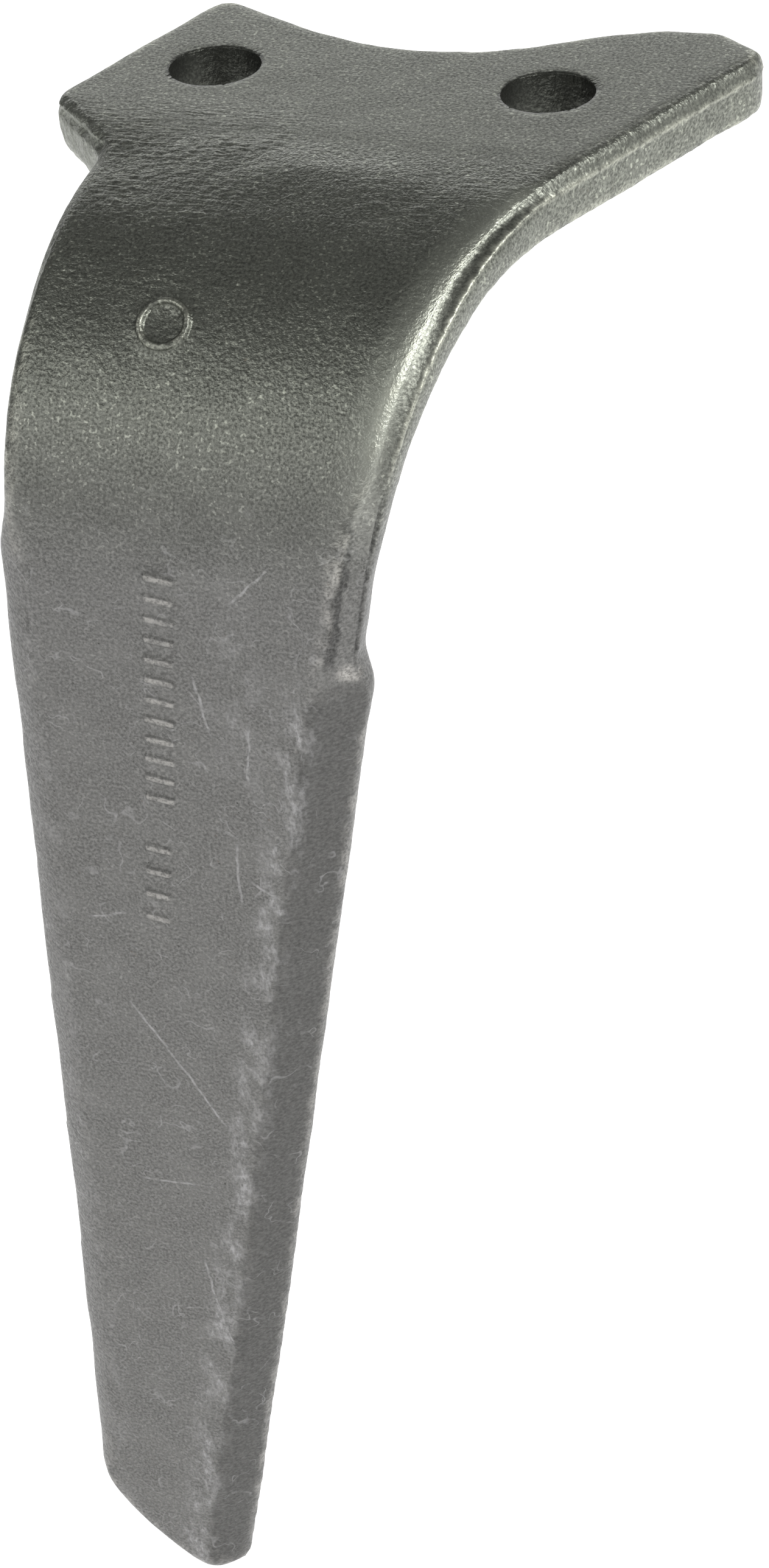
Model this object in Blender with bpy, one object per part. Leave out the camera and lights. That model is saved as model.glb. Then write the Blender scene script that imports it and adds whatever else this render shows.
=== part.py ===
"""Right-hand power harrow tine: a one-piece closed-die steel forging.

A flat two-hole flange bolts up under the rotor, a wide bend turns it down into a long
tapered blade, and the blade has a steep cutting bevel on the right and a shallow one on
the left.  World frame, metres: the origin lies midway between the two bolt holes on the
flange's flat top, +Z runs up along the bolts, +X along the row of holes and +Y back.

The body is a loft.  Its plan is laid out on the developed (unrolled) forging, with x across
the width and run measured down the front face from the start of the bend, and each point
is then rolled into place at its depth below the front face.
"""
import math

import bmesh
import bpy
import numpy as np
from mathutils import Vector
from mathutils.geometry import interpolate_bezier

MM = 0.001

# Bolt holes.
HOLE_DIAMETER = 17.0 * MM
HOLE_SPACING = 64.0 * MM
HOLE_SIDES = 64

# Side profile: flat flange, bend, straight blade.
BEND_START_Y = -36.0 * MM
BEND_RADIUS = 55.0 * MM
BEND_RUN = BEND_RADIUS * math.pi / 2

# Thickness of the forging at (run, thickness).
THICKNESS = [(0.0, 11.5 * MM), (45 * MM, 12.0 * MM), (120 * MM, 12.0 * MM), (320 * MM, 9.0 * MM)]

# Depth of the die parting line below the front face, at (run, depth on that edge).
LEFT_PARTING = [(72 * MM, 3.6 * MM), (86 * MM, 4.6 * MM), (320 * MM, 4.0 * MM)]
RIGHT_PARTING = [(0.0, 3.2 * MM), (40 * MM, 4.0 * MM), (98 * MM, 4.0 * MM), (108 * MM, 7.2 * MM),
                 (320 * MM, 6.4 * MM)]

# Flange plan, (x, y): left side with its notch and sheared lug, right side up to the nose.
NOTCH = (-41.4 * MM, -32.6 * MM)
LUG_TIP = (-58.0 * MM, -16.0 * MM)
BACK_CORNER = (-42.8 * MM, 34.1 * MM)
NOTCH_FILLET = 4.0 * MM
LUG_FILLET = 3.2 * MM
BACK_CORNER_FILLET = 7.0 * MM
NOSE_START = (60.3 * MM, 9.0 * MM)
NOSE_END = (64.7 * MM, 23.4 * MM)
SHOULDER = (50.0 * MM, 33.2 * MM)
WAIST = (5.0 * MM, 14.8 * MM)

# Plan width of the bend and the blade, (run, x of the parting line).
LEFT_SIDE = [(0.0, -41.2 * MM), (26 * MM, -40.9 * MM), (74 * MM, -41.0 * MM), (84 * MM, -43.5 * MM),
             (150 * MM, -45.9 * MM), (235 * MM, -48.6 * MM), (301 * MM, -51.0 * MM)]
RIGHT_SIDE = [(0.0, 43.2 * MM), (20 * MM, 38.3 * MM), (45 * MM, 32.9 * MM), (72 * MM, 27.6 * MM),
              (99 * MM, 22.1 * MM), (106 * MM, 23.4 * MM), (118 * MM, 20.6 * MM), (328 * MM, -21.0 * MM)]

# Tip of the blade, (x, run): the lower left corner is swept round to a small right corner.
TIP_START_RUN = 262 * MM
TIP_LEFT = (-51.0 * MM, 303.0 * MM)
TIP_BOTTOM = (-27.5 * MM, 329.8 * MM)
TIP_RIGHT = (-21.6 * MM, 327.6 * MM)

# Edge shapes as (inset from the parting line, part of the parting depth left to fall).
ROUNDED_EDGE = [(0.0, 1.0), (0.35 * MM, 0.62), (0.8 * MM, 0.32), (1.5 * MM, 0.11), (2.6 * MM, 0.0)]
SOFT_EDGE = [(0.0, 1.0), (1.2 * MM, 0.55), (2.3 * MM, 0.20), (3.1 * MM, 0.05), (4.4 * MM, 0.0)]
LEDGE_EDGE = [(0.0, 1.0), (2.6 * MM, 0.92), (3.4 * MM, 0.55), (4.3 * MM, 0.14), (5.8 * MM, 0.0)]
BEVEL_EDGE = [(0.0, 1.0), (2.9 * MM, 0.66), (5.6 * MM, 0.34), (7.8 * MM, 0.10), (10.0 * MM, 0.0)]
TIP_BEVEL_EDGE = [(0.0, 1.0), (2.2 * MM, 0.66), (4.2 * MM, 0.34), (5.9 * MM, 0.10), (7.6 * MM, 0.0)]
LEFT_BEVEL_EDGE = [(0.0, 1.0), (0.6 * MM, 0.78), (2.8 * MM, 0.40), (5.0 * MM, 0.10), (7.4 * MM, 0.0)]
LEFT_EDGES = [(72 * MM, ROUNDED_EDGE), (86 * MM, LEFT_BEVEL_EDGE)]
RIGHT_EDGES = [(0.0, ROUNDED_EDGE), (26 * MM, SOFT_EDGE), (64 * MM, SOFT_EDGE), (78 * MM, LEDGE_EDGE),
               (97 * MM, LEDGE_EDGE), (108 * MM, BEVEL_EDGE), (310 * MM, TIP_BEVEL_EDGE)]
BACK_EDGE = [(0.0, 1.0), (0.3 * MM, 0.50), (0.7 * MM, 0.18), (1.4 * MM, 0.04), (2.6 * MM, 0.0)]
END_INSETS = [0.0, 0.4 * MM, 0.9 * MM, 1.6 * MM, 2.8 * MM]
FLANGE_LENGTH = 65 * MM
TIP_LENGTH = 50 * MM

# Rows and columns of the loft.
MIDDLE_COLUMNS = 9
FLANGE_ROWS = 24
BEND_ROWS = 32
BLADE_RUNS = [90, 94, 97, 99, 101, 103, 105, 107, 109, 112, 116, 122, 136, 150, 164, 178, 192, 206,
              220, 234, 248, 262]
TIP_ROWS = 12

# Raised forge marks: a ring on the bend, a column of bars and a shorter column on the blade.
RING_AT = (-13.7 * MM, 39.8 * MM)
RING_RADIUS = 4.3 * MM
RING_THICKNESS = 0.7 * MM
MARK_HEIGHT = 0.5 * MM
MARK_SINK = 1.0 * MM
MARK_WIDTH = 1.5 * MM
MARK_COLUMNS = [(12, 4.2 * MM, 5.8 * MM, (-11.4 * MM, 84.5 * MM)),
                (4, 5.2 * MM, 5.0 * MM, (-18.0 * MM, 142.0 * MM))]
MARK_LEAN = -0.105

STEEL = (0.19, 0.19, 0.185, 1.0)


def station(table, run):
    """Interpolate a (run, value) table, where a value is a number or an edge shape."""
    runs = [row[0] for row in table]
    values = np.array([row[1] for row in table], dtype=float)
    if values.ndim == 1:
        return float(np.interp(run, runs, values))
    return np.array([[np.interp(run, runs, values[:, i, j]) for j in range(2)]
                     for i in range(values.shape[1])])


def roll(x, run, depth):
    """Place a point of the developed forging: on the flange, round the bend, or down the blade."""
    if run <= 0.0:
        return Vector((x, BEND_START_Y - run, -depth))
    if run < BEND_RUN:
        angle = run / BEND_RADIUS
        radius = BEND_RADIUS - depth
        return Vector((x, BEND_START_Y - radius * math.sin(angle), radius * math.cos(angle) - BEND_RADIUS))
    return Vector((x, BEND_START_Y - BEND_RADIUS + depth, BEND_RUN - BEND_RADIUS - run))


def plan(point):
    """Turn a flange point (x, y) into a developed point (x, run)."""
    return Vector((point[0], BEND_START_Y - point[1]))


def fillet(before, corner, after, radius, steps=6):
    """Round a corner between two straight sides with an arc of the given radius."""
    back = (before - corner).normalized()
    ahead = (after - corner).normalized()
    half = math.acos(max(-1.0, min(1.0, back.dot(ahead)))) / 2
    reach = radius / math.tan(half)
    handle = reach * 4 / 3 * math.tan((math.pi / 2 - half) / 2) * math.tan(half)
    start = corner + back * reach
    end = corner + ahead * reach
    return interpolate_bezier(start, start - back * handle, end - ahead * handle, end, steps)


def sample(points, fractions):
    """Points at the given fractions of a polyline's length."""
    line = np.array([tuple(p)[:2] for p in points])
    length = np.concatenate([[0.0], np.cumsum(np.linalg.norm(np.diff(line, axis=0), axis=1))])
    at = np.asarray(fractions) * length[-1]
    return np.column_stack([np.interp(at, length, line[:, 0]), np.interp(at, length, line[:, 1])])


def flange_boundaries():
    """Left side, right side and back edge of the flange's developed plan."""
    root = Vector((LEFT_SIDE[0][1], 0.0))
    notch, lug, corner = plan(NOTCH), plan(LUG_TIP), plan(BACK_CORNER)
    shoulder, waist = plan(SHOULDER), plan(WAIST)
    nose_start, nose_end = plan(NOSE_START), plan(NOSE_END)
    waist_side = Vector((19 * MM, 0.0))
    corner_arc = fillet(lug, corner, waist - waist_side, BACK_CORNER_FILLET, 9)
    left = [root] + fillet(root, notch, lug, NOTCH_FILLET) + fillet(notch, lug, corner, LUG_FILLET)
    left += corner_arc[:5]
    right_root = Vector((RIGHT_SIDE[0][1], 0.0))
    side = (nose_start - right_root).normalized() * (8 * MM)
    nose = interpolate_bezier(nose_start, nose_start + side, nose_end + Vector((0.6, 5.0)) * MM, nose_end, 8)
    right = [right_root] + nose
    drop = (corner_arc[-1] - corner_arc[-2]).normalized() * (12 * MM)
    back = corner_arc[4:]
    back += interpolate_bezier(back[-1], back[-1] + drop, waist - waist_side, waist, 14)[1:]
    back += interpolate_bezier(waist, waist + Vector((20 * MM, 0.0)), shoulder - Vector((17 * MM, 0.0)),
                               shoulder, 14)[1:]
    back += interpolate_bezier(shoulder, shoulder + Vector((8.0 * MM, 0.0)),
                               nose_end + Vector((0.2, -6.0)) * MM, nose_end, 10)[1:]
    return left, right, back


def tip_boundaries():
    """Left side, right side and bottom edge of the blade's last stretch."""
    left = [Vector((station(LEFT_SIDE, TIP_START_RUN), TIP_START_RUN)), Vector(TIP_LEFT)]
    corner = Vector(TIP_RIGHT)
    right_at = corner - Vector((-0.8, 3.4)) * MM
    right = [Vector((station(RIGHT_SIDE, TIP_START_RUN), TIP_START_RUN)), right_at, corner]
    bottom = interpolate_bezier(Vector(TIP_LEFT), Vector(TIP_LEFT) + Vector((1.2, 8.4)) * MM,
                                Vector(TIP_BOTTOM) - Vector((9.4, 2.3)) * MM, Vector(TIP_BOTTOM), 14)
    bottom += interpolate_bezier(Vector(TIP_BOTTOM), Vector(TIP_BOTTOM) + Vector((3.0, 0.1)) * MM,
                                 corner + Vector((-1.4, 1.4)) * MM, corner, 6)[1:]
    return left, right, bottom


def columns(row_width, left_edge, right_edge):
    """Fractions of a row's width: the left edge's insets, even middle columns, the right edge's."""
    inner_left = left_edge[-1, 0]
    inner_right = row_width - right_edge[-1, 0]
    middle = np.linspace(inner_left, inner_right, MIDDLE_COLUMNS + 2)[1:-1]
    return np.concatenate([left_edge[:, 0], middle, row_width - right_edge[::-1, 0]]) / row_width


def straight_row(run):
    """Ends of a row that crosses the bend or the blade squarely."""
    left = np.array([station(LEFT_SIDE, run), run])
    right = np.array([station(RIGHT_SIDE, run), run])
    return left, right


def patch_row(left, right, base, end, v, u):
    """One row of a Coons patch between a straight base row and a curved end."""
    low_left, low_right = base
    high_left, high_right = left[-1], right[-1]
    side_left, side_right = sample(left, [v])[0], sample(right, [v])[0]
    low = np.outer(1 - u, low_left) + np.outer(u, low_right)
    high = sample(end, u)
    ruled = np.outer(1 - u, side_left) + np.outer(u, side_right)
    corners = (np.outer((1 - u) * (1 - v), low_left) + np.outer(u * (1 - v), low_right)
               + np.outer((1 - u) * v, high_left) + np.outer(u * v, high_right))
    return ruled + (1 - v) * low + v * high - corners


def edge_fall(left_edge, right_edge, end_fall):
    """Part of the parting depth that each point of a row falls, from both sides and the end."""
    side = np.concatenate([left_edge[:, 1], np.zeros(MIDDLE_COLUMNS), right_edge[::-1, 1]])
    return 1 - (1 - side) * (1 - end_fall)


def sheet(front):
    """Rows of points of the front or the back face, from the flange's back edge to the tip."""
    def edges(run):
        if front:
            return station(LEFT_EDGES, run), station(RIGHT_EDGES, run)
        return np.array(BACK_EDGE), np.array(BACK_EDGE)

    def place_row(points, fall, run):
        placed = []
        across = np.linspace(0.0, 1.0, len(points))
        for (x, at), part, share in zip(points, fall, across):
            thickness = station(THICKNESS, at)
            left_depth, right_depth = station(LEFT_PARTING, run), station(RIGHT_PARTING, run)
            parting = left_depth * (1 - share) + right_depth * share
            depth = parting * part if front else thickness - (thickness - parting) * part
            placed.append(roll(x, at, depth))
        return placed

    def patch(boundaries, base, row_fractions, length):
        left, right, end = boundaries
        rows = []
        steps = list(row_fractions) + [1 - inset / length for inset in END_INSETS[::-1]]
        for v in steps:
            end_fall = float(np.interp((1 - v) * length, *np.transpose(end_shape)))
            start, stop = sample(left, [v])[0], sample(right, [v])[0]
            run = min(start[1], stop[1])
            left_edge, right_edge = edges(run)
            shape = (left_edge, right_edge) if v < 1 else (end_edge, end_edge)
            u = columns(float(np.linalg.norm(stop - start)), *shape)
            points = patch_row(left, right, base, end, v, u)
            rows.append(place_row(points, edge_fall(left_edge, right_edge, end_fall), run))
        return rows

    end_shape = ROUNDED_EDGE if front else BACK_EDGE
    end_edge = np.array(ROUNDED_EDGE)
    flange_fractions = np.linspace(0.0, 1.0, FLANGE_ROWS, endpoint=False)[1:]
    rows = patch(flange_boundaries(), straight_row(0.0), flange_fractions[:-1], FLANGE_LENGTH)[::-1]
    runs = list(np.linspace(0.0, BEND_RUN, BEND_ROWS + 1)) + [run * MM for run in BLADE_RUNS]
    for run in runs:
        left_edge, right_edge = edges(run)
        start, stop = straight_row(run)
        u = columns(stop[0] - start[0], left_edge, right_edge)
        points = np.outer(1 - u, start) + np.outer(u, stop)
        rows.append(place_row(points, edge_fall(left_edge, right_edge, 0.0), run))
    tip_fractions = np.linspace(0.0, 1.0, TIP_ROWS, endpoint=False)[1:]
    rows += patch(tip_boundaries(), straight_row(TIP_START_RUN), tip_fractions[:-1], TIP_LENGTH)
    return rows


def skin(body, grid, flip):
    """Quads between the rows of a grid of vertices."""
    for upper, lower in zip(grid, grid[1:]):
        for i in range(len(upper) - 1):
            corners = [upper[i], lower[i], lower[i + 1], upper[i + 1]]
            body.faces.new(corners[::-1] if flip else corners)


def forging_body():
    """Skin the front and back sheets, which share their rim along the parting line."""
    mesh = bpy.data.meshes.new("tine")
    body = bmesh.new()
    front = [[body.verts.new(point) for point in row] for row in sheet(True)]
    last = (len(front) - 1, len(front[0]) - 1)
    back = [[front[j][i] if j in (0, last[0]) or i in (0, last[1]) else body.verts.new(point)
             for i, point in enumerate(row)] for j, row in enumerate(sheet(False))]
    skin(body, front, False)
    skin(body, back, True)
    for face in body.faces:
        face.smooth = True
    body.to_mesh(mesh)
    body.free()
    return bpy.data.objects.new("tine", mesh)


def steel_material():
    """Shot-blasted forging steel."""
    material = bpy.data.materials.new("forged_steel")
    material.use_nodes = True
    shader = material.node_tree.nodes["Principled BSDF"]
    shader.inputs["Base Color"].default_value = STEEL
    shader.inputs["Metallic"].default_value = 0.85
    shader.inputs["Roughness"].default_value = 0.5
    return material


def hole_cutter(x, cutters):
    """Cylinder that bores one bolt hole through the flange."""
    depth = 4 * THICKNESS[0][1]
    half_side = math.pi / HOLE_SIDES
    bpy.ops.mesh.primitive_cylinder_add(vertices=HOLE_SIDES, radius=HOLE_DIAMETER / 2, depth=depth,
                                        location=(x, 0.0, 0.0), rotation=(0.0, 0.0, half_side))
    return move_to(bpy.context.object, "bolt_hole_cutter", cutters)


def mark_bar(run, x, width, cutters):
    """One raised bar, sunk a little into the blade's front face."""
    height = MARK_HEIGHT + MARK_SINK
    centre = roll(x, run, (MARK_SINK - MARK_HEIGHT) / 2)
    bpy.ops.mesh.primitive_cube_add(size=1.0, location=centre)
    bar = move_to(bpy.context.object, "forge_mark", cutters)
    bar.scale = (width, height, MARK_WIDTH)
    bar.rotation_euler = (0.0, MARK_LEAN, 0.0)
    return bar


def mark_ring(cutters):
    """Raised ring, half sunk into the bend and square to its face."""
    x, run = RING_AT
    tilt = math.pi / 2 - run / BEND_RADIUS
    bpy.ops.mesh.primitive_torus_add(location=roll(x, run, 0.0), major_segments=24, minor_segments=8,
                                     rotation=(math.pi / 2 - tilt, 0.0, 0.0),
                                     major_radius=RING_RADIUS, minor_radius=RING_THICKNESS)
    return move_to(bpy.context.object, "forge_ring", cutters)


def move_to(tool, name, collection):
    """Name a tool object, keep it out of the render and file it with the cutters."""
    tool.name = name
    tool.hide_render = True
    tool.display_type = "WIRE"
    for owner in tool.users_collection:
        owner.objects.unlink(tool)
    collection.objects.link(tool)
    return tool


def add_boolean(body, tool, operation):
    """Cut or join a tool with the exact solver."""
    modifier = body.modifiers.new(tool.name, "BOOLEAN")
    modifier.operation = operation
    modifier.object = tool
    modifier.solver = "EXACT"


def build():
    """Make the tine, bore it and raise its marks."""
    for item in list(bpy.data.objects):
        bpy.data.objects.remove(item, do_unlink=True)
    parts = bpy.data.collections.new("power_harrow_tine")
    cutters = bpy.data.collections.new("cutters")
    bpy.context.scene.collection.children.link(parts)
    bpy.context.scene.collection.children.link(cutters)
    body = forging_body()
    body.data.materials.append(steel_material())
    parts.objects.link(body)
    for side in (-1, 1):
        add_boolean(body, hole_cutter(side * HOLE_SPACING / 2, cutters), "DIFFERENCE")
    add_boolean(body, mark_ring(cutters), "UNION")
    for count, pitch, width, (x, run) in MARK_COLUMNS:
        for i in range(count):
            step = i * pitch
            add_boolean(body, mark_bar(run + step, x + step * math.tan(MARK_LEAN), width, cutters), "UNION")


build()
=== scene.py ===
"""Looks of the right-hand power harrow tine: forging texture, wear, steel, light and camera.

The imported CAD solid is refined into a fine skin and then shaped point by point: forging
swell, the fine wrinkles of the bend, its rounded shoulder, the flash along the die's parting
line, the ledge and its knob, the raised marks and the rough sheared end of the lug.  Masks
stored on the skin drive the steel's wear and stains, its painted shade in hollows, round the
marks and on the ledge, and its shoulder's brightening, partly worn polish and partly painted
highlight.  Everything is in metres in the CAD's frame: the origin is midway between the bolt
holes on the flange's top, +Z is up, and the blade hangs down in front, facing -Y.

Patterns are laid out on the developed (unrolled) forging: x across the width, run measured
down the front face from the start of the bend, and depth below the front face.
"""
import math

import bmesh
import bpy
import numpy as np
from mathutils import Matrix, Vector, noise


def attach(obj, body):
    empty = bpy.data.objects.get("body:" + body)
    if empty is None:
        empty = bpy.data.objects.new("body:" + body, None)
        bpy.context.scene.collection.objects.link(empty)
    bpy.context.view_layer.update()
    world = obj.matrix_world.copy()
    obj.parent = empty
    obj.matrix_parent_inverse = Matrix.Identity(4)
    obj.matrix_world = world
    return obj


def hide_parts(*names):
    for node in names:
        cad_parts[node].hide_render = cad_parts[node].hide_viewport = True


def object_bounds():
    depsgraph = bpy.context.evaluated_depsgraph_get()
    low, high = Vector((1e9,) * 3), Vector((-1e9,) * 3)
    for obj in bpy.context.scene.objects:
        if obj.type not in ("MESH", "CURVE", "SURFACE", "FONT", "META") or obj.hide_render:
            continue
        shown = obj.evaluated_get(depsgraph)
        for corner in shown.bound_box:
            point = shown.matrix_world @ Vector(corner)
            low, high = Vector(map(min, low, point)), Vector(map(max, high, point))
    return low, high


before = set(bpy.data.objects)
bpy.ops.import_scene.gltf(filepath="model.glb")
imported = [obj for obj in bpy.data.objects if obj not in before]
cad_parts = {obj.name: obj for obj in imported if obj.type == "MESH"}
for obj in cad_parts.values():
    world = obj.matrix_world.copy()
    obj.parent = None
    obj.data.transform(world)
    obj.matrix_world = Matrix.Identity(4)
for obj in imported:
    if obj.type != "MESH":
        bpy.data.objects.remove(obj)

CAD_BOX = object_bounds()
MM = 0.001

# The CAD's side profile, which the developed coordinates follow.
BEND_START_Y = -36.0 * MM
BEND_RADIUS = 55.0 * MM
BEND_RUN = BEND_RADIUS * math.pi / 2
FRONT_Y = BEND_START_Y - BEND_RADIUS
FLANGE_THICKNESS = 11.5 * MM

# Bolt holes.
HOLE_RADIUS = 8.5 * MM
HOLE_X = 32.0 * MM
RIM_ROUNDING = 0.35 * MM

# Skin.
VOXEL = 1.02 * MM
SMOOTH_PASSES = 3

# Die parting line on the right edge, (run, depth), and the step where the ledge ends.
PARTING_RUN = [0.0, 40 * MM, 98 * MM, 108 * MM, 320 * MM]
PARTING_DEPTH = [3.2 * MM, 4.0 * MM, 4.0 * MM, 7.2 * MM, 6.4 * MM]
STEP_RUN = 103 * MM
LEDGE_START = 66 * MM

# Where the parting line runs on each side of the bend and blade, (run, x), and how far in from
# it the bevels' ridges lie.
LEFT_RUN = [0.0, 26 * MM, 74 * MM, 84 * MM, 301 * MM]
LEFT_X = [-41.2 * MM, -40.9 * MM, -41.0 * MM, -43.5 * MM, -51.0 * MM]
RIGHT_RUN = [0.0, 20 * MM, 45 * MM, 72 * MM, 99 * MM, 106 * MM, 118 * MM, 328 * MM]
RIGHT_X = [43.2 * MM, 38.3 * MM, 32.9 * MM, 27.6 * MM, 22.1 * MM, 23.4 * MM, 20.6 * MM, -21.0 * MM]
RIGHT_RIDGE = 10 * MM
LEFT_RIDGE = 6 * MM

# Raised forge marks: a ring on the bend and two columns of bars on the blade.
RING_AT = (-13.7 * MM, 39.8 * MM)
RING_RADIUS = 4.3 * MM
RING_HALF_WIDTH = 0.95 * MM
BAR_COLUMNS = [(12, 4.2 * MM, 5.8 * MM, (-11.4 * MM, 84.5 * MM)),
               (4, 5.2 * MM, 5.0 * MM, (-18.0 * MM, 142.0 * MM))]
BAR_HALF_WIDTH = 0.85 * MM
BAR_LEAN = -0.105

# Heights and depths of the surface's features, in millimetres.
MARK_HEIGHT = 0.95
BROAD_SWELL = 0.20
CLOSE_SWELL = 0.07
SCALE_HEIGHT = 0.035
BEND_WRINKLES = 0.26
FLANGE_WRINKLES = 0.20
FLANGE_DROP = 0.05
FLASH_HEIGHT = 0.34
FLASH_WAVER = 0.08
SLOPE_CHATTER = 0.30
SEAM_DEPTH = 0.30
KNOB_HEIGHT = 0.15
KNOB_ROUGHNESS = 0.40
SHOULDER_DROP = 1.0
SHEAR_ROUGHNESS = 0.35
SHEAR_GROOVE = 0.6
TONGUE_RISE = 0.5
SAG_DROP = 0.8
EARLY_DROP = 1.6

# Scratches on the blade's front face, ((x, run), (x, run)) in millimetres.
SCRATCHES = [((-28.0, 178.0), (-11.0, 206.0)), ((-34.5, 160.0), (-26.0, 157.5)),
             ((1.0, 88.0), (9.0, 80.0)), ((-7.5, 103.0), (-5.0, 116.0)), ((2.5, 112.0), (1.0, 126.0)),
             ((-2.5, 138.0), (-3.0, 152.0)), ((-31.0, 222.0), (-19.0, 221.0)),
             ((-1.0, 146.0), (6.0, 150.5)), ((-20.0, 240.0), (-16.0, 262.0))]
SCRATCH_WIDTH = 0.32 * MM

# Steel.
METALLIC = 0.85
BUMP_DISTANCE = 0.32 * MM

# Studio: floor, sky, and the soft lights (name, place, width, height, power).
FLOOR_SIZE = 8.0
FLOOR_GAP = 0.5 * MM
FLOOR_WHITE = 0.92
FLOOR_GLOW = 0.7
SKY_LIGHT = 0.15
LIGHT_AIM = Vector((0.0, -0.06, -0.12))
LIGHTS = [("back", (-0.50, 1.30, 0.34), 1.6, 0.6, 5.8),
          ("right", (1.08, -0.20, 0.70), 1.2, 0.6, 16.0),
          ("front", (-0.75, -1.25, 0.70), 1.7, 1.3, 10.0)]

# Camera.
LENS = 88.0
SENSOR = 36.0
CAMERA_AT = Vector((239.5, -596.6, 282.3)) * MM
CAMERA_AIM = Vector((24.4, -85.0, -93.6)) * MM
CAMERA_ROLL = -5.15


def ramp(value, low, high):
    """Smooth step from 0 at low to 1 at high."""
    t = np.clip((value - low) / (high - low), 0.0, 1.0)
    return t * t * (3 - 2 * t)


def band(value, centre, half_width):
    """Smooth bump: 1 at the centre, 0 beyond half_width from it."""
    return 1 - ramp(np.abs(value - centre), 0.0, half_width)


def developed(points):
    """The developed coordinates (x, run, depth) of each point of the tine."""
    x, y, z = points.T
    ahead = BEND_START_Y - y
    above = z + BEND_RADIUS
    in_bend = (ahead > 0) & (above > 0)
    run = np.where(in_bend, BEND_RADIUS * np.arctan2(ahead, above), ahead)
    run = np.where(above <= 0, BEND_RUN - above, run)
    depth = np.where(in_bend, BEND_RADIUS - np.hypot(ahead, above), -z)
    depth = np.where(above <= 0, y - FRONT_Y, depth)
    return np.column_stack([x, run, depth])


def grain(points, size, shift):
    """Perlin noise at each point; size is a number or one per axis, shift moves the pattern."""
    return np.array([noise.noise(point) for point in points / size + shift])


def read(mesh, name):
    """A vector quantity of a mesh's vertices as an array."""
    values = np.empty(len(mesh.vertices) * 3, dtype=np.float32)
    mesh.vertices.foreach_get(name, values)
    return values.reshape(-1, 3).astype(float)


def write_points(mesh, points):
    """Move a mesh's vertices to new places."""
    mesh.vertices.foreach_set("co", points.ravel().astype(np.float32))
    mesh.update()


def neighbour_mean(mesh, values, passes):
    """Average each vertex with its neighbours, a number of times."""
    pairs = np.empty(len(mesh.edges) * 2, dtype=np.int32)
    mesh.edges.foreach_get("vertices", pairs)
    a, b = pairs.reshape(-1, 2).T
    count = np.bincount(a, minlength=len(values)) + np.bincount(b, minlength=len(values))
    for _ in range(passes):
        total = np.zeros_like(values)
        np.add.at(total, a, values[b])
        np.add.at(total, b, values[a])
        share = count if values.ndim == 1 else count[:, None]
        values = 0.5 * values + 0.5 * total / share
    return values


def hole_distance(points):
    """Distance of each point from the nearer bolt hole's axis."""
    return np.hypot(np.abs(points[:, 0]) - HOLE_X, points[:, 1])


def mark_height(flat):
    """Height of the raised marks, 0 to 1, over the developed front face."""
    x, run, _ = flat.T
    off_ring = np.abs(np.hypot(x - RING_AT[0], run - RING_AT[1]) - RING_RADIUS)
    height = 1 - ramp(off_ring, 0.25 * RING_HALF_WIDTH, RING_HALF_WIDTH)
    for count, pitch, width, (first_x, first_run) in BAR_COLUMNS:
        for i in range(count):
            bar_x = first_x + i * pitch * math.tan(BAR_LEAN)
            across = x - bar_x
            along = run - first_run - i * pitch - across * math.tan(-BAR_LEAN)
            bar = 1 - ramp(np.abs(along), 0.25 * BAR_HALF_WIDTH, BAR_HALF_WIDTH)
            bar *= 1 - ramp(np.abs(across), width / 2 - 0.5 * MM, width / 2 + 0.1 * MM)
            height = np.maximum(height, bar)
    return height


def mark_zone(flat, margin):
    """True over the marks and a margin round them."""
    x, run, depth = flat.T
    inside = np.hypot(x - RING_AT[0], run - RING_AT[1]) < RING_RADIUS + RING_HALF_WIDTH + margin
    for count, pitch, width, (first_x, first_run) in BAR_COLUMNS:
        along = run - first_run
        across = x - first_x - along * math.tan(BAR_LEAN)
        inside |= ((np.abs(across) < width / 2 + margin)
                   & (along > -1 * MM - margin) & (along < (count - 1) * pitch + 1 * MM + margin))
    return inside & (depth < 2 * MM)


def fine_zone(points, normals, margin):
    """True where the skin needs smaller faces: wrinkles, parting line and hole rims."""
    flat = developed(points)
    x, run, depth = flat.T
    wrinkles = (x < 6 * MM) & (run > -30 * MM) & (run < 40 * MM) & (depth < 2 * MM)
    parting = np.interp(run, PARTING_RUN, PARTING_DEPTH)
    edge = (normals[:, 0] > 0.3) & (np.abs(depth - parting) < 2.2 * MM + margin) & (run < 112 * MM)
    edge &= run > -56 * MM
    from_axis = hole_distance(points)
    rim = (np.abs(from_axis - HOLE_RADIUS) < 1.2 * MM + margin)
    rim &= (depth < 1.5 * MM) | (depth > FLANGE_THICKNESS - 1.5 * MM)
    return wrinkles | edge | (rim & (run < 0))


def seam_zone(flat):
    """True along the parting line above the step, where the flash and the ledge's seam lie."""
    x, run, depth = flat.T
    parting = np.interp(run, PARTING_RUN, PARTING_DEPTH)
    inset = np.interp(run, RIGHT_RUN, RIGHT_X) - x
    near = (np.abs(depth - parting) < 1.0 * MM) & (np.abs(inset) < 1.4 * MM)
    return near & (run > 0) & (run < STEP_RUN)


def refine(mesh, zone_of):
    """Cut the faces of a zone in four."""
    centres = np.empty(len(mesh.polygons) * 3, dtype=np.float32)
    mesh.polygons.foreach_get("center", centres)
    normals = np.empty(len(mesh.polygons) * 3, dtype=np.float32)
    mesh.polygons.foreach_get("normal", normals)
    chosen = zone_of(centres.reshape(-1, 3).astype(float), normals.reshape(-1, 3).astype(float))
    body = bmesh.new()
    body.from_mesh(mesh)
    body.faces.ensure_lookup_table()
    edges = list({edge for i in np.flatnonzero(chosen) for edge in body.faces[i].edges})
    bmesh.ops.subdivide_edges(body, edges=edges, cuts=1, use_grid_fill=True)
    body.to_mesh(mesh)
    body.free()


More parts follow.
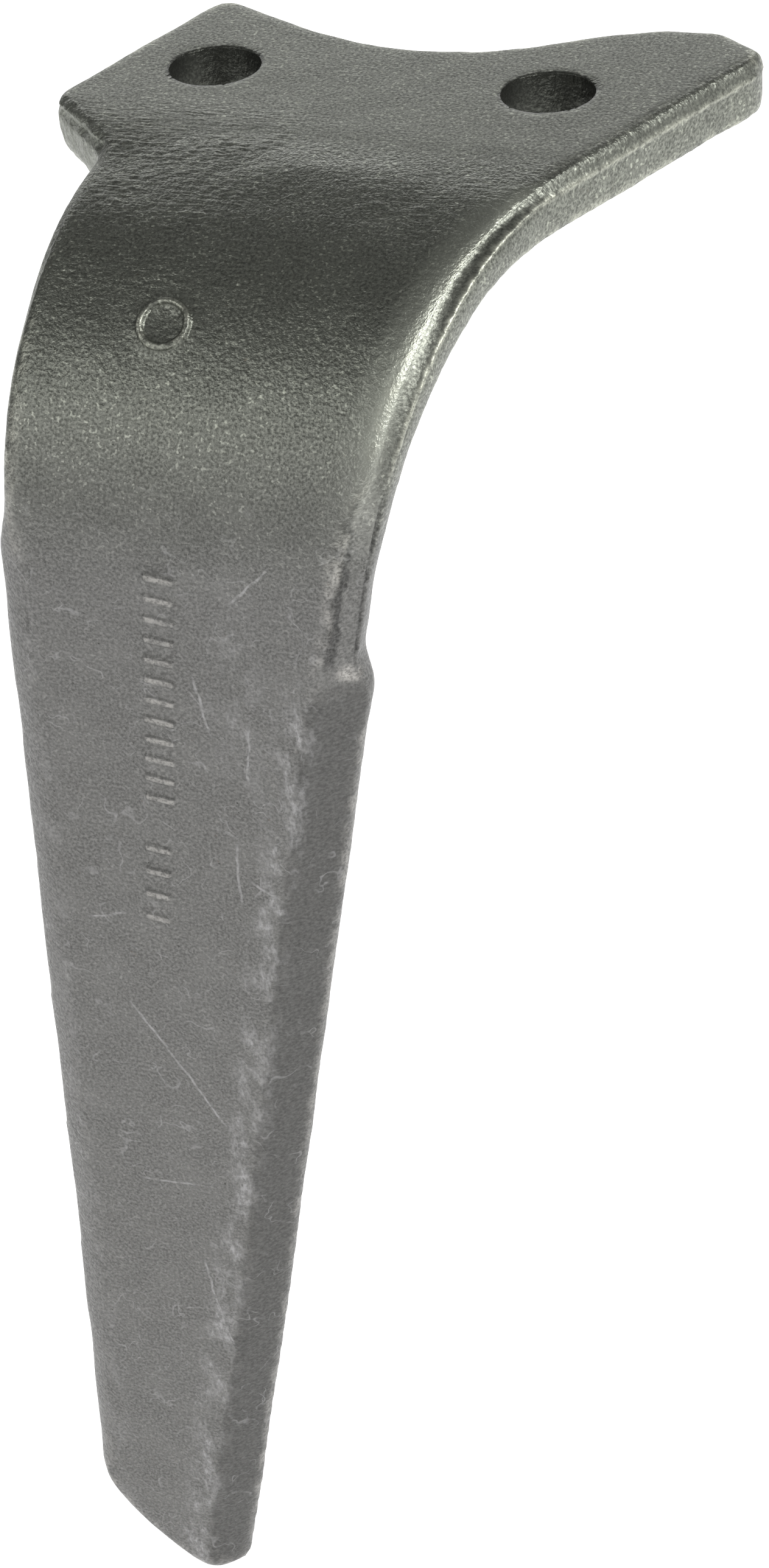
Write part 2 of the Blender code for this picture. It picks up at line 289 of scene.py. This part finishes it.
def fine_skin(node):
    """An even, fine and slightly softened copy of a CAD node, finer still where it needs it."""
    skin = bpy.data.objects.new("forged_tine", node.data.copy())
    bpy.context.scene.collection.objects.link(skin)
    remesh = skin.modifiers.new("even_faces", "REMESH")
    remesh.mode = "VOXEL"
    remesh.voxel_size = VOXEL
    graph = bpy.context.evaluated_depsgraph_get()
    mesh = bpy.data.meshes.new_from_object(skin.evaluated_get(graph))
    skin.modifiers.clear()
    skin.data = mesh
    write_points(mesh, neighbour_mean(mesh, read(mesh, "co"), SMOOTH_PASSES))
    refine(mesh, lambda p, n: fine_zone(p, n, 0.5 * MM) | mark_zone(developed(p), 1.2 * MM))
    refine(mesh, lambda p, n: mark_zone(developed(p), 0.4 * MM) | seam_zone(developed(p)))
    write_points(mesh, neighbour_mean(mesh, read(mesh, "co"), 2))
    for face in mesh.polygons:
        face.use_smooth = True
    return skin


def true_holes(points):
    """Bring the bolt holes' walls and rims back to their true round."""
    _, run, depth = developed(points).T
    from_axis = hole_distance(points)
    near = (np.abs(from_axis - HOLE_RADIUS) < 0.75 * MM) & (run < 0)
    edge = np.minimum(depth, FLANGE_THICKNESS - depth)
    inside = near & (edge > 0.12 * MM)
    rise = 1 - np.clip(edge / RIM_ROUNDING, 0.0, 1.0)
    radius = HOLE_RADIUS + RIM_ROUNDING * (1 - np.sqrt(1 - rise ** 2))
    share = np.where(inside, radius / np.maximum(from_axis, 1 * MM), 1.0)
    centre = np.sign(points[:, 0]) * HOLE_X
    moved = points.copy()
    moved[:, 0] = centre + (points[:, 0] - centre) * share
    moved[:, 1] = points[:, 1] * share
    return moved


def store(mesh, name, values):
    """Keep a mask on the mesh for the material to read."""
    layer = mesh.attributes.new(name, "FLOAT", "POINT")
    layer.data.foreach_set("value", np.clip(values, 0.0, 1.0).astype(np.float32))


def creases(flat, front):
    """Where the top of the bend is creased, 0 to 1: all of its left, less of its right."""
    x, run, _ = flat.T
    left = 1 - ramp(x, -16 * MM, 6 * MM)
    right = 0.6 * ramp(x, 6 * MM, 16 * MM) * ramp(run, -12 * MM, 2 * MM)
    along = ramp(run, -28 * MM, -6 * MM) * (1 - ramp(run, 22 * MM, 40 * MM))
    patches = np.clip(0.6 + 0.9 * grain(flat, 7 * MM, 11.0), 0.0, 1.0)
    return along * np.maximum(left, right) * front * patches


def ledge(flat, normals, inset, parting):
    """The ledge above the step: its jagged slope, the seam beside it and the knob at its end."""
    _, run, depth = flat.T
    along = ramp(run, LEDGE_START - 4 * MM, LEDGE_START + 5 * MM)
    along *= 1 - ramp(run, STEP_RUN - 6 * MM, STEP_RUN - 2 * MM)
    jagged = inset + grain(flat, 1.5 * MM, 16.0) * 0.5 * MM
    slope = along * ramp(jagged, 3.1 * MM, 3.6 * MM) * (1 - ramp(jagged, 4.6 * MM, 5.4 * MM))
    slope *= depth < 3.9 * MM
    from_seam = np.hypot(depth - parting, inset - 0.3 * MM)
    seam = along * (1 - ramp(from_seam, 0.25 * MM, 0.75 * MM))
    from_knob = np.hypot(run - STEP_RUN + 1.5 * MM, inset - 2.0 * MM)
    knob = (1 - ramp(from_knob, 0.6 * MM, 2.6 * MM)) * ramp(-normals[:, 1], 0.0, 0.5)
    return slope, seam, knob


def settling(flat):
    """Slow rise and fall of the front face where the bend begins, in millimetres."""
    x, run, _ = flat.T
    tongue = np.exp(-((x - 3 * MM) / (15 * MM)) ** 2 - ((run - 1 * MM) / (7 * MM)) ** 2)
    sag = ramp(-x, 12 * MM, 34 * MM) * np.exp(-((run - 1 * MM) / (10 * MM)) ** 2)
    early = ramp(run, -14 * MM, 12 * MM) * (1 - ramp(run, 12 * MM, 60 * MM))
    return TONGUE_RISE * tongue - SAG_DROP * sag - EARLY_DROP * early


def sheared(points, normals):
    """The sheared end of the lug, 0 to 1."""
    facing = ramp(-normals[:, 0] - normals[:, 1], 0.5, 1.0)
    shear = ramp(-points[:, 0], 40 * MM, 44 * MM) * facing
    along = (1 - ramp(points[:, 1], -14 * MM, -10 * MM)) * ramp(points[:, 1], -40 * MM, -34 * MM)
    return shear * along


def worn(flat, ridge, flash, marks, chips, knob):
    """Where the surface is rubbed bright: ridges, flash, marks, chipped rims and the knob."""
    patchy = grain(flat, 3.5 * MM, 20.0) * 0.5 + grain(flat, 1.6 * MM, 21.0) * 0.5
    wear = ramp(ridge, 0.03, 0.14) * ramp(patchy, -0.25, 0.30)
    wear *= 1 - 0.45 * ramp(flat[:, 1], 70 * MM, 110 * MM)
    for part, low, high in ((flash, -0.5, 0.1), (0.6 * ramp(marks, 0.4, 1.0), -0.6, 0.1),
                            (chips, -0.2, 0.2), (knob, -0.5, 0.1)):
        wear = np.maximum(wear, part * ramp(patchy, low, high))
    return wear


def scuffs(flat, inset):
    """Cloudy rubbed bands beside the blade's two ridges and down its middle."""
    x, run, depth = flat.T
    left_inset = x - np.interp(run, LEFT_RUN, LEFT_X)
    right = band(inset, RIGHT_RIDGE + 0.8 * MM, 5.5 * MM) * ramp(run, 98 * MM, 112 * MM)
    left = 0.32 * band(left_inset, LEFT_RIDGE, 4.5 * MM) * ramp(run, 70 * MM, 96 * MM)
    middle = 0.55 * band(x, 1 * MM, 9 * MM) * band(run, 108 * MM, 34 * MM)
    return np.maximum(np.maximum(right, left), middle) * (depth < 4 * MM)


def forge(skin):
    """Shape the skin's surface and store the masks and coordinates that the steel reads."""
    mesh = skin.data
    points, normals = true_holes(read(mesh, "co")), read(mesh, "normal")
    flat = developed(points)
    _, run, depth = flat.T
    parting = np.interp(run, PARTING_RUN, PARTING_DEPTH)
    inset = np.interp(run, RIGHT_RUN, RIGHT_X) - flat[:, 0]
    front = ramp(-depth, -4.5 * MM, -1.5 * MM)
    flange_top = ramp(normals[:, 2], 0.9, 0.98) * ramp(-run, 2 * MM, 12 * MM)
    from_axis = hole_distance(points)
    bore = ((from_axis < HOLE_RADIUS + 0.4 * MM) & (run < 0)).astype(float)
    near_bore = (1 - ramp(from_axis, HOLE_RADIUS + 0.5 * MM, HOLE_RADIUS + 2.5 * MM)) * (run < 0)
    mean = neighbour_mean(mesh, points, 5)
    ridge = neighbour_mean(mesh, np.einsum("ij,ij->i", normals, points - mean) / MM, 2)

    swell = grain(flat, 15 * MM, 3.1) * BROAD_SWELL + grain(flat, 6 * MM, 7.7) * CLOSE_SWELL
    scale = grain(flat, 2.6 * MM, 1.3) * SCALE_HEIGHT
    creased = creases(flat, front)
    wrinkles = creased * grain(flat, np.array([1.8, 0.8, 4.0]) * MM, 5.9)
    flash = band(depth, parting, 0.8 * MM) * ramp(normals[:, 0], 0.25, 0.6)
    flash *= 1 - ramp(run, LEDGE_START - 12 * MM, LEDGE_START)
    slope, seam, knob = ledge(flat, normals, inset, parting)
    rounding = ramp(run, -2 * MM, 18 * MM) * (1 - ramp(run, 58 * MM, 84 * MM))
    rounding *= (1 - ramp(inset, 2.5 * MM, 11 * MM)) * (1 - ramp(depth, 1 * MM, 6 * MM))
    shear = sheared(points, normals)
    marks = mark_height(flat) * (depth < 2 * MM)

    lift = swell + scale + wrinkles * BEND_WRINKLES
    lift += flash * (FLASH_HEIGHT + FLASH_WAVER * grain(flat, 4 * MM, 8.2))
    lift += slope * grain(flat, 1.3 * MM, 9.4) * SLOPE_CHATTER - seam * SEAM_DEPTH
    lift += knob * (KNOB_HEIGHT + KNOB_ROUGHNESS * grain(flat, 1.5 * MM, 17.0))
    lift -= rounding * SHOULDER_DROP
    shear_groove = band(depth, 2.6 * MM, 1.0 * MM) * SHEAR_GROOVE
    lift += shear * (grain(points, 2.2 * MM, 2.4) * SHEAR_ROUGHNESS - shear_groove)
    worn_mark = 0.85 + 0.35 * grain(flat, 3 * MM, 14.0)
    lift = lift * (1 - 0.5 * marks) + marks * MARK_HEIGHT * worn_mark
    calmer = scale * 0.7 - FLANGE_DROP + 0.35 * swell + wrinkles * FLANGE_WRINKLES
    lift = lift * (1 - flange_top) + flange_top * calmer
    lift += front * settling(flat)
    lift *= 1 - np.maximum(near_bore, bore)
    moved = points + normals * (lift * MM)[:, None]
    low, high = (np.array(corner) for corner in CAD_BOX)
    write_points(mesh, np.clip(moved, low, high))

    rim = ramp(0.3 * MM + HOLE_RADIUS - from_axis, -0.3 * MM, 0.1 * MM)
    chips = near_bore * (depth < 1 * MM) * rim
    # Shoulder: the bend's rounded right shoulder, brightened in the steel partly as worn polish and partly
    # as a painted highlight.
    shoulder = (1 - ramp(inset, 7 * MM, 11 * MM)) * (1 - ramp(normals[:, 0], 0.6, 0.85))
    shoulder *= (depth < parting) * ramp(normals[:, 0], -0.1, 0.15)
    shoulder *= ramp(run, -6 * MM, 8 * MM) * (1 - ramp(run, 52 * MM, 80 * MM))
    # Foot: a ring round the raised marks, darkened in the steel as painted shadow at their feet.
    foot = np.clip(neighbour_mean(mesh, marks, 5) * 2 - marks * 2, 0.0, 1.0)
    sides = ramp(normals[:, 0], 0.5, 0.85)
    bevel = ramp(normals[:, 0], 0.12, 0.30) * ramp(-normals[:, 1], 0.3, 0.6)
    masks = {
        "wear": worn(flat, ridge, flash, marks, chips, knob) * (1 - bore),
        # Painted shade: concave places and the marks' feet, darkened in the steel.
        "hollow": np.maximum(ramp(-ridge, 0.015, 0.09), foot),
        # Painted shade: the ledge's jagged slope and seam, darkened in the steel.
        "groove": np.maximum(slope, seam),
        # Partly painted highlight: brightens the shoulder, together with its worn polish.
        "shoulder": shoulder,
        "calm": np.maximum(np.maximum(0.72 * flange_top, 0.3 * shoulder), 0.6 * sides),
        "scuff": scuffs(flat, inset),
        "shear": shear,
        "bore": bore,
        "blade": ramp(run, 45 * MM, 90 * MM),
        "front": front,
        "bevel": bevel * ramp(run, STEP_RUN - 3 * MM, 108 * MM),
        "ripple": creased,
    }
    for name, values in masks.items():
        store(mesh, name, values)
    layer = mesh.attributes.new("sheet", "FLOAT_VECTOR", "POINT")
    layer.data.foreach_set("vector", flat.ravel().astype(np.float32))


class Graph:
    """Short calls for building a material's nodes."""

    def __init__(self, material):
        material.use_nodes = True
        self.nodes = material.node_tree.nodes
        self.links = material.node_tree.links
        self.shader = self.nodes["Principled BSDF"]

    def feed(self, socket, value):
        """Set a socket, or link it where the value is another node's output."""
        if isinstance(value, bpy.types.NodeSocket):
            self.links.new(value, socket)
        else:
            socket.default_value = value

    def mask(self, name):
        """A mask stored on the mesh."""
        node = self.nodes.new("ShaderNodeAttribute")
        node.attribute_name = name
        return node.outputs["Fac"]

    def sheet(self):
        """The developed coordinates stored on the mesh."""
        node = self.nodes.new("ShaderNodeAttribute")
        node.attribute_name = "sheet"
        return node.outputs["Vector"]

    def math(self, operation, a, b=0.0):
        """One math node."""
        node = self.nodes.new("ShaderNodeMath")
        node.operation = operation
        self.feed(node.inputs[0], a)
        self.feed(node.inputs[1], b)
        return node.outputs["Value"]

    def times(self, first, *others):
        """The product of several values."""
        for other in others:
            first = self.math("MULTIPLY", first, other)
        return first

    def vector(self, operation, a, b):
        """One vector math node; DOT_PRODUCT gives a number."""
        node = self.nodes.new("ShaderNodeVectorMath")
        node.operation = operation
        self.feed(node.inputs[0], a)
        self.feed(node.inputs[1], b)
        return node.outputs["Value" if operation == "DOT_PRODUCT" else "Vector"]

    def remap(self, value, low, high, out_low=0.0, out_high=1.0):
        """Map a range of values to another, clamped."""
        node = self.nodes.new("ShaderNodeMapRange")
        self.feed(node.inputs["Value"], value)
        names = ("From Min", "From Max", "To Min", "To Max")
        for name, number in zip(names, (low, high, out_low, out_high)):
            node.inputs[name].default_value = number
        return node.outputs["Result"]

    def speckle(self, place, size, detail=2.0, rough=0.5):
        """Noise with blobs of about the given size; size may differ per axis."""
        sizes = (size, size, size) if isinstance(size, float) else size
        scaled = self.vector("MULTIPLY", place, tuple(1 / s for s in sizes))
        texture = self.nodes.new("ShaderNodeTexNoise")
        texture.inputs["Scale"].default_value = 1.0
        texture.inputs["Detail"].default_value = detail
        texture.inputs["Roughness"].default_value = rough
        self.links.new(scaled, texture.inputs["Vector"])
        return texture.outputs["Fac"]

    def wander(self, place, size, reach):
        """Coordinates pushed about by noise, up to half the reach each way."""
        texture = self.nodes.new("ShaderNodeTexNoise")
        texture.inputs["Scale"].default_value = 1 / size
        self.links.new(place, texture.inputs["Vector"])
        push = self.vector("SUBTRACT", texture.outputs["Color"], (0.5, 0.5, 0.5))
        return self.vector("ADD", place, self.vector("MULTIPLY", push, (reach, reach, 0.0)))

    def mix(self, factor, low, high, blend_type="MIX"):
        """Blend two colours."""
        blend = self.nodes.new("ShaderNodeMix")
        blend.data_type = "RGBA"
        blend.blend_type = blend_type
        for name, value in (("Factor", factor), ("A", low), ("B", high)):
            self.feed(next(s for s in blend.inputs if s.name == name and s.enabled), value)
        return next(s for s in blend.outputs if s.enabled)

    def vein(self, place, size, shift, width):
        """Thin wandering lines: where a smooth noise crosses its middle."""
        moved = self.vector("ADD", place, (shift, shift * 0.7, shift * 1.3))
        level = self.speckle(moved, size, 3.0, 0.55)
        off = self.math("ABSOLUTE", self.math("SUBTRACT", level, 0.5))
        return self.remap(off, width, width * 0.3)

    def scratch(self, place, start, end, width):
        """One straight scratch between two points (x, run) of the developed face."""
        line = Vector((end[0] - start[0], end[1] - start[1], 0.0)) * MM
        along = line.normalized()
        across = Vector((along.y, -along.x, 0.0))
        from_start = self.vector("SUBTRACT", place, (start[0] * MM, start[1] * MM, 0.0))
        reach = self.vector("DOT_PRODUCT", from_start, tuple(along))
        off = self.math("ABSOLUTE", self.vector("DOT_PRODUCT", from_start, tuple(across)))
        thin = self.remap(off, width, width * 0.4)
        begin = self.remap(reach, 0.0, 2 * MM)
        stop = self.remap(reach, line.length, line.length - 2 * MM)
        return self.times(thin, self.times(begin, stop))


def grey(level):
    """A neutral colour."""
    return (level, level, level, 1)


def bare_steel(g, place, fine, blast, blade):
    """Colour of the blasted steel: speckle, clouds, painted shade in hollows, painted glints, rust spots
    and pits.
    """
    cloud = g.speckle(place, 9.0 * MM, 4.0, 0.55)
    colour = g.mix(g.remap(fine, 0.36, 0.64), grey(0.09), grey(0.27))
    colour = g.mix(g.remap(blast, 0.35, 0.75, 0.0, 0.45), colour, grey(0.13))
    colour = g.mix(g.times(blade, 0.35), colour, grey(0.165))
    colour = g.mix(g.remap(cloud, 0.40, 0.70, 0.0, 0.40), colour, grey(0.21))
    # Painted shade: concave places and the marks' feet are darkened.
    colour = g.mix(g.mask("hollow"), colour, (0.10, 0.10, 0.094, 1))

    # Painted glints: small bright flecks, most of them on the bend, standing in for sparkle off the
    # blast's dimples.
    elsewhere = g.vector("ADD", place, (0.2, 0.6, 0.0))
    glint = g.remap(g.speckle(elsewhere, 0.8 * MM, 1.0, 0.5), 0.60, 0.68)
    glint = g.times(glint, g.remap(cloud, 0.35, 0.6), g.remap(blade, 0.3, 1.0, 0.75, 0.2))
    colour = g.mix(glint, colour, (0.48, 0.48, 0.47, 1))
    elsewhere = g.vector("ADD", place, (0.3, 0.1, 0.0))
    rust_spots = g.remap(g.speckle(elsewhere, 2.2 * MM, 3.0, 0.6), 0.70, 0.78)
    colour = g.mix(g.times(rust_spots, 0.55), colour, (0.14, 0.105, 0.085, 1))
    elsewhere = g.vector("ADD", place, (0.7, 0.4, 0.0))
    pits = g.remap(g.speckle(elsewhere, 1.0 * MM, 1.0, 0.5), 0.76, 0.80)
    return g.mix(g.times(pits, 0.8), colour, (0.05, 0.05, 0.047, 1))


def rubs(g, place, blade):
    """Share of whitish marks on the blade: wandering veins, scratches and cloudy scuffs."""
    broken = g.remap(g.speckle(place, 6.0 * MM, 3.0, 0.6), 0.48, 0.62)
    veins = g.math("MAXIMUM", g.vein(place, 22.0 * MM, 0.13, 0.006), g.vein(place, 13.0 * MM, 0.41, 0.007))
    uneven = g.wander(place, 5.0 * MM, 1.6 * MM)
    lines = 0.0
    for start, end in SCRATCHES:
        lines = g.math("MAXIMUM", g.scratch(uneven, start, end, SCRATCH_WIDTH), lines)
    dashes = g.remap(g.speckle(place, 1.4 * MM, 2.0, 0.5), 0.35, 0.6, 0.2, 1.0)
    cloudy = g.remap(g.speckle(place, (4.0 * MM, 9.0 * MM, 4.0 * MM), 5.0, 0.65), 0.45, 0.62)
    flecks = g.remap(g.speckle(place, (0.8 * MM, 1.6 * MM, 0.8 * MM), 3.0, 0.6), 0.44, 0.62, 0.25, 1.0)
    lines = g.times(lines, dashes, g.mask("front"), 0.6)
    share = g.math("MAXIMUM", g.times(veins, broken, blade, 0.32), lines)
    return g.math("MAXIMUM", share, g.times(g.mask("scuff"), cloudy, flecks, 0.8))


def steel(name):
    """Bare shot-blasted forging steel: speckled grey, whitish where worn, painted shade in hollows and
    grooves, painted glints, and a shoulder brightened partly by worn polish and partly as a painted
    highlight.
    """
    material = bpy.data.materials.new(name)
    g = Graph(material)
    g.shader.inputs["Metallic"].default_value = METALLIC
    place = g.sheet()
    blade = g.mask("blade")
    calm = g.mask("calm")
    fine = g.speckle(place, 0.55 * MM, 2.0, 0.6)
    blast = g.speckle(place, 1.4 * MM, 2.0, 0.5)
    streak = g.speckle(place, (3.0 * MM, 0.7 * MM, 3.0 * MM), 2.0, 0.5)

    colour = bare_steel(g, place, fine, blast, blade)
    rough_grain = g.remap(g.speckle(place, (0.7 * MM, 0.5 * MM, 0.7 * MM), 2.0, 0.6), 0.35, 0.65)
    dark_bevel = g.mix(rough_grain, grey(0.072), grey(0.135))
    colour = g.mix(g.times(g.mask("bevel"), 0.85), colour, dark_bevel)
    # Painted shade on the ledge's slope and seam, broken up by the fine speckle.
    groove_shade_breakup = g.remap(fine, 0.35, 0.65, 0.95, 0.60)
    colour = g.mix(g.times(g.mask("groove"), groove_shade_breakup), colour, grey(0.05))
    # Shoulder brightened: partly worn polish, partly a painted highlight.
    colour = g.mix(g.times(g.mask("shoulder"), 0.8), colour, grey(0.50))
    colour = g.mix(rubs(g, place, blade), colour, (0.46, 0.46, 0.48, 1))
    bright = g.times(g.mask("wear"), g.remap(fine, 0.35, 0.55, 0.35, 1.0))
    colour = g.mix(bright, colour, (0.47, 0.46, 0.45, 1))
    colour = g.mix(g.times(g.mask("shear"), 0.5), colour, grey(0.24))
    mottle = g.mix(g.remap(fine, 0.4, 0.65), grey(0.045), grey(0.085))
    colour = g.mix(g.mask("bore"), colour, mottle)
    tint = g.mix(blade, (0.96, 1.0, 0.86, 1), (0.785, 0.777, 0.747, 1))
    g.feed(g.shader.inputs["Base Color"], g.mix(1.0, colour, tint, "MULTIPLY"))
    gloss = g.remap(fine, 0.3, 0.7, 0.46, 0.30)
    g.feed(g.shader.inputs["Roughness"], g.math("ADD", gloss, g.times(calm, 0.12)))

    relief = g.math("ADD", g.times(fine, 0.5), g.times(blast, 0.75))
    relief = g.times(relief, g.remap(blade, 0.0, 1.0, 1.0, 0.6), g.math("SUBTRACT", 1.0, calm))
    relief = g.math("ADD", relief, g.times(streak, g.mask("ripple"), 1.2))
    bump = g.nodes.new("ShaderNodeBump")
    bump.inputs["Distance"].default_value = BUMP_DISTANCE
    bump.inputs["Strength"].default_value = 1.0
    g.feed(bump.inputs["Height"], relief)
    g.feed(g.shader.inputs["Normal"], bump.outputs["Normal"])
    return material


def area_light(name, place, width, height, power):
    """A soft rectangular light at a place, facing the middle of the tine."""
    light = bpy.data.lights.new(name, "AREA")
    light.shape = "RECTANGLE"
    light.size = width
    light.size_y = height
    light.energy = power
    lamp = bpy.data.objects.new(name, light)
    bpy.context.scene.collection.objects.link(lamp)
    lamp.location = place
    lamp.rotation_euler = (LIGHT_AIM - Vector(place)).to_track_quat("-Z", "Y").to_euler()


def studio():
    """Pale floor under the tip, white surroundings for the camera, and the soft lights."""
    floor_z = CAD_BOX[0].z - FLOOR_GAP
    bpy.ops.mesh.primitive_plane_add(size=FLOOR_SIZE, location=(0.0, 0.0, floor_z))
    floor = bpy.context.object
    floor.name = "studio_floor"
    paper = bpy.data.materials.new("studio_paper")
    paper.use_nodes = True
    shader = paper.node_tree.nodes["Principled BSDF"]
    shader.inputs["Base Color"].default_value = grey(FLOOR_WHITE)
    shader.inputs["Roughness"].default_value = 0.9
    shader.inputs["Emission Color"].default_value = grey(1.0)
    shader.inputs["Emission Strength"].default_value = FLOOR_GLOW
    floor.data.materials.append(paper)
    world = bpy.data.worlds.new("studio_world")
    world.use_nodes = True
    tree = world.node_tree
    background = tree.nodes["Background"]
    background.inputs["Color"].default_value = grey(1.0)
    light_path = tree.nodes.new("ShaderNodeLightPath")
    glow = tree.nodes.new("ShaderNodeMapRange")
    glow.inputs["To Min"].default_value = SKY_LIGHT
    glow.inputs["To Max"].default_value = 1.0
    tree.links.new(light_path.outputs["Is Camera Ray"], glow.inputs["Value"])
    tree.links.new(glow.outputs["Result"], background.inputs["Strength"])
    bpy.context.scene.world = world
    for name, place, width, height, power in LIGHTS:
        area_light(name, place, width, height, power)
    bpy.context.scene.view_settings.view_transform = "Standard"


def photo_camera():
    """Camera right of the blade and above the flange, rolled a little to the right."""
    data = bpy.data.cameras.new("camera")
    data.lens = LENS
    data.sensor_width = SENSOR
    camera = bpy.data.objects.new("camera", data)
    bpy.context.scene.collection.objects.link(camera)
    camera.location = CAMERA_AT
    towards = (CAMERA_AIM - CAMERA_AT).to_track_quat("-Z", "Y").to_matrix().to_4x4()
    roll = Matrix.Rotation(math.radians(CAMERA_ROLL), 4, "Z")
    camera.rotation_euler = (towards @ roll).to_euler()
    bpy.context.scene.camera = camera


tine = fine_skin(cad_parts["tine"])
forge(tine)
tine.data.materials.clear()
tine.data.materials.append(steel("forged_steel"))
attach(tine, "root")
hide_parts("tine")
studio()
photo_camera()
